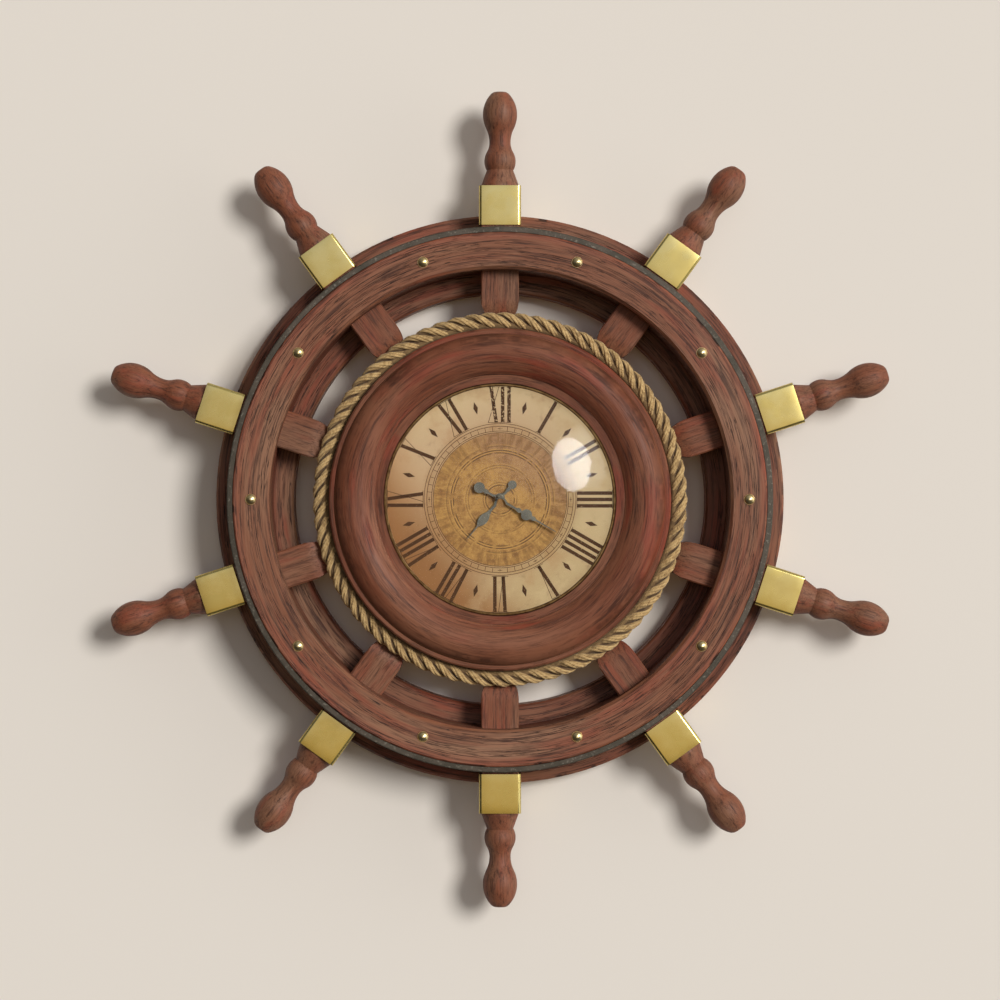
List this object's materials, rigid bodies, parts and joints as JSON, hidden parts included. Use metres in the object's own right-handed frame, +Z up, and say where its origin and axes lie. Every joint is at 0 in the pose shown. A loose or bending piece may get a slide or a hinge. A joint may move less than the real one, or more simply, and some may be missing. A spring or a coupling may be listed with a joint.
{
  "type": "ship's wheel wall clock",
  "caption": "Wall clock shaped as a ship's wheel with turned spokes, brass ferrules, rope-trimmed turned bezel, domed glass and quartz movement.",
  "frame": {"origin": "centre of the keyhole hanger's round end, on the wall plane", "axes": "+Z up, -Y out of the wall towards the viewer, +X to the viewer's right; the dial axis is parallel to Y, 184.25 mm below the origin"},
  "size_m": [0.581, 0.077, 0.6076],
  "materials": {
    "rim_wood": "satin stain over open grain",
    "spoke_wood": "satin varnish over mixed grain",
    "hub_wood": "satin varnish, darker",
    "bezel_wood": "satin varnish, turned",
    "hoop_iron": "aged, speckled",
    "ferrule_brass": "satin, a little tarnished",
    "stud_brass": "polished dome",
    "ring_brass": "antique, dark",
    "rope_fibre": "three strand natural rope",
    "dial_glass": "clear, domed",
    "dial_print": "printed parchment tones",
    "hand_paint": "aged grey green",
    "board_wood": "plain board",
    "screw_steel": "zinc plated",
    "nut_brass": "turned",
    "washer_rubber": "matt",
    "case_plastic": "moulded, fine grain",
    "gear_plastic": "moulded acetal",
    "arbor_steel": "ground",
    "coil_copper": "enamelled winding",
    "circuit_green": "solder mask",
    "cell_wrap": "plain printed wrap"
  },
  "bodies": {
    "clock_frame": {"rear_ring": "rim_wood", "front_ring": "rim_wood", "felloes": "rim_wood", "rim_hoop": "hoop_iron", "rim_studs": "stud_brass", "hub_body": "hub_wood", "bezel_ring": "bezel_wood", "hub_rope": "rope_fibre", "glass_ring": "ring_brass", "glass_spacer": "ring_brass", "glass_dome": "dial_glass", "dial_plate": "dial_print", "backing_board": "board_wood", "board_screws": "screw_steel", "hanger_plate": "screw_steel", "hanger_screws": "screw_steel", "fixing_nut": "nut_brass", "fixing_washer": "washer_rubber", "movement_case": "case_plastic", "movement_cover": "case_plastic", "train_plate": "case_plastic", "drive_unit": "case_plastic", "drive_coil": "coil_copper", "stator": "screw_steel", "circuit_board": "circuit_green", "crystal_can": "screw_steel", "battery_contacts": "screw_steel", "spoke_01": "spoke_wood", "ferrule_01": "ferrule_brass", "spoke_02": "spoke_wood", "ferrule_02": "ferrule_brass", "spoke_03": "spoke_wood", "ferrule_03": "ferrule_brass", "spoke_04": "spoke_wood", "ferrule_04": "ferrule_brass", "spoke_05": "spoke_wood", "ferrule_05": "ferrule_brass", "spoke_06": "spoke_wood", "ferrule_06": "ferrule_brass", "spoke_07": "spoke_wood", "ferrule_07": "ferrule_brass", "spoke_08": "spoke_wood", "ferrule_08": "ferrule_brass", "spoke_09": "spoke_wood", "ferrule_09": "ferrule_brass", "spoke_10": "spoke_wood", "ferrule_10": "ferrule_brass"},
    "minute_train": {"minute_arbor": "arbor_steel", "minute_hand": "hand_paint", "hand_nut": "nut_brass"},
    "hour_train": {"hour_wheel": "gear_plastic", "hour_hand": "hand_paint"},
    "reverser": {"reverser_wheel": "gear_plastic"},
    "setting": {"setting_wheel": "gear_plastic"},
    "drive": {"drive_pinion": "gear_plastic"},
    "battery_cell": {"battery": "cell_wrap"}
  },
  "joints": [
    {"name": "minute_spin", "type": "hinge", "parent": "clock_frame", "child": "minute_train", "pos_m": [0, 0, -0.18425], "axis": [0, 1, 0], "continuous": true},
    {"name": "hour_spin", "type": "hinge", "parent": "clock_frame", "child": "hour_train", "pos_m": [0, 0, -0.18425], "axis": [0, 1, 0], "continuous": true},
    {"name": "reverser_spin", "type": "hinge", "parent": "clock_frame", "child": "reverser", "pos_m": [0.00406, 0, -0.17555], "axis": [0, 1, 0], "continuous": true},
    {"name": "setting_spin", "type": "hinge", "parent": "clock_frame", "child": "setting", "pos_m": [0.01308, 0, -0.17227], "axis": [0, 1, 0], "continuous": true},
    {"name": "drive_spin", "type": "hinge", "parent": "clock_frame", "child": "drive", "pos_m": [-0.0102, 0, -0.18425], "axis": [0, 1, 0], "continuous": true},
    {"name": "battery_slide", "type": "slide", "parent": "clock_frame", "child": "battery_cell", "axis": [0, 1, 0], "range_m": [0, 0.045]}
  ],
  "couplings": [
    {"joint": "hour_spin", "follows": "minute_spin", "ratio": 0.083333},
    {"joint": "reverser_spin", "follows": "minute_spin", "ratio": -0.33333},
    {"joint": "setting_spin", "follows": "minute_spin", "ratio": 1},
    {"joint": "drive_spin", "follows": "minute_spin", "ratio": -7.5}
  ]
}
